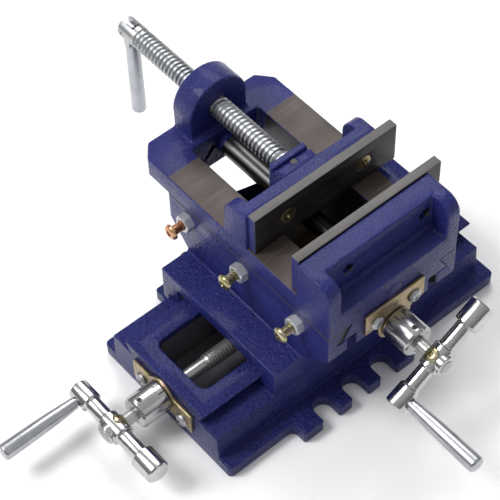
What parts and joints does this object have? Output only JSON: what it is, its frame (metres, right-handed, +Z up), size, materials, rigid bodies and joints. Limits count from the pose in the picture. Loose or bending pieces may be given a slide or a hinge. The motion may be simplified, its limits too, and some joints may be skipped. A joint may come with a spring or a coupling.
{
  "type": "cross slide vise",
  "caption": "Low drill press vise on two crossed dovetail slides, with crank driven lead screws, graduated dials, ground jaw plates and a lever operated clamp screw.",
  "frame": {"origin": "middle of the base casting's underside, on the table plane", "axes": "+X along the base slide, its crank at the -X end; +Y along the cross slide, its crank at the -Y end; +Z up"},
  "size_m": [0.2898, 0.3148, 0.1325],
  "materials": {
    "paint": "semi gloss enamel over rough cast iron",
    "ground_steel": "ground",
    "black_steel": "black oxide",
    "zinc": "bright zinc",
    "yellow_zinc": "yellow zinc",
    "chrome": "polished",
    "dial_metal": "satin",
    "bar_steel": "bright drawn",
    "bronze": "turned"
  },
  "bodies": {
    "base": {"base": "paint", "base_retaining_plate": "yellow_zinc", "base_plate_screws": "zinc"},
    "base_crank": {"base_lead_screw": "bar_steel", "base_dial": "dial_metal", "base_dial_screw": "black_steel", "base_crank_arm": "chrome", "base_hub_screw": "black_steel", "base_grip_axle": "bar_steel"},
    "base_grip": {"base_crank_grip": "chrome"},
    "saddle": {"saddle": "paint", "base_gib": "bar_steel", "base_gib_screws": "yellow_zinc", "base_gib_nuts": "zinc", "base_screw_nut": "bronze", "base_nut_screw": "black_steel", "cross_screw_nut": "bronze", "cross_nut_screws": "black_steel", "cross_gib": "bar_steel", "cross_gib_screws": "yellow_zinc", "cross_gib_nuts": "zinc"},
    "vise_body": {"vise_body": "paint", "guide_bar": "bar_steel", "fixed_jaw_plate": "ground_steel", "fixed_jaw_plate_screws": "black_steel", "cross_retaining_plate": "yellow_zinc", "cross_plate_screws": "zinc"},
    "cross_crank": {"cross_lead_screw": "bar_steel", "cross_dial": "dial_metal", "cross_dial_screw": "black_steel", "cross_crank_arm": "chrome", "cross_hub_screw": "black_steel", "cross_grip_axle": "bar_steel"},
    "cross_grip": {"cross_crank_grip": "chrome"},
    "moving_jaw": {"moving_jaw": "paint", "moving_jaw_plate": "ground_steel", "moving_jaw_plate_screws": "black_steel", "spindle_set_screw": "black_steel"},
    "clamp_screw": {"clamp_screw": "zinc", "lever_pin": "zinc"},
    "clamp_lever": {"clamp_lever": "zinc"}
  },
  "joints": [
    {"name": "base_slide", "type": "slide", "parent": "base", "child": "saddle", "axis": [1, 0, 0], "range_m": [-0.038, 0.028]},
    {"name": "base_screw_turn", "type": "hinge", "parent": "base", "child": "base_crank", "pos_m": [-0.102, 0, 0.0215], "axis": [1, 0, 0], "range_deg": [-5040, 6840]},
    {"name": "base_grip_spin", "type": "hinge", "parent": "base_crank", "child": "base_grip", "pos_m": [-0.134, 0.027, 0.0215], "axis": [1, 0, 0], "continuous": true},
    {"name": "cross_slide", "type": "slide", "parent": "saddle", "child": "vise_body", "axis": [0, 1, 0], "range_m": [-0.036, 0.025]},
    {"name": "cross_screw_turn", "type": "hinge", "parent": "vise_body", "child": "cross_crank", "pos_m": [0.0065, -0.0675, 0.062], "axis": [0, 1, 0], "range_deg": [-6480, 4500]},
    {"name": "cross_grip_spin", "type": "hinge", "parent": "cross_crank", "child": "cross_grip", "pos_m": [-0.017, -0.0995, 0.0487], "axis": [0, 1, 0], "continuous": true},
    {"name": "jaw_slide", "type": "slide", "parent": "vise_body", "child": "moving_jaw", "axis": [0, 1, 0], "range_m": [-0.0285, 0.05]},
    {"name": "clamp_screw_turn", "type": "hinge", "parent": "moving_jaw", "child": "clamp_screw", "pos_m": [0.0065, 0.014, 0.1125], "axis": [0, 1, 0], "range_deg": [-3420, 6000]},
    {"name": "lever_swing", "type": "hinge", "parent": "clamp_screw", "child": "clamp_lever", "pos_m": [0.0065, 0.154, 0.1125], "axis": [1, 0, 0], "range_deg": [0, 180]}
  ],
  "couplings": [
    {"joint": "base_screw_turn", "follows": "base_slide", "rad_per_m": -3141.6},
    {"joint": "cross_screw_turn", "follows": "cross_slide", "rad_per_m": 3141.6},
    {"joint": "clamp_screw_turn", "follows": "jaw_slide", "rad_per_m": 2094.4}
  ]
}
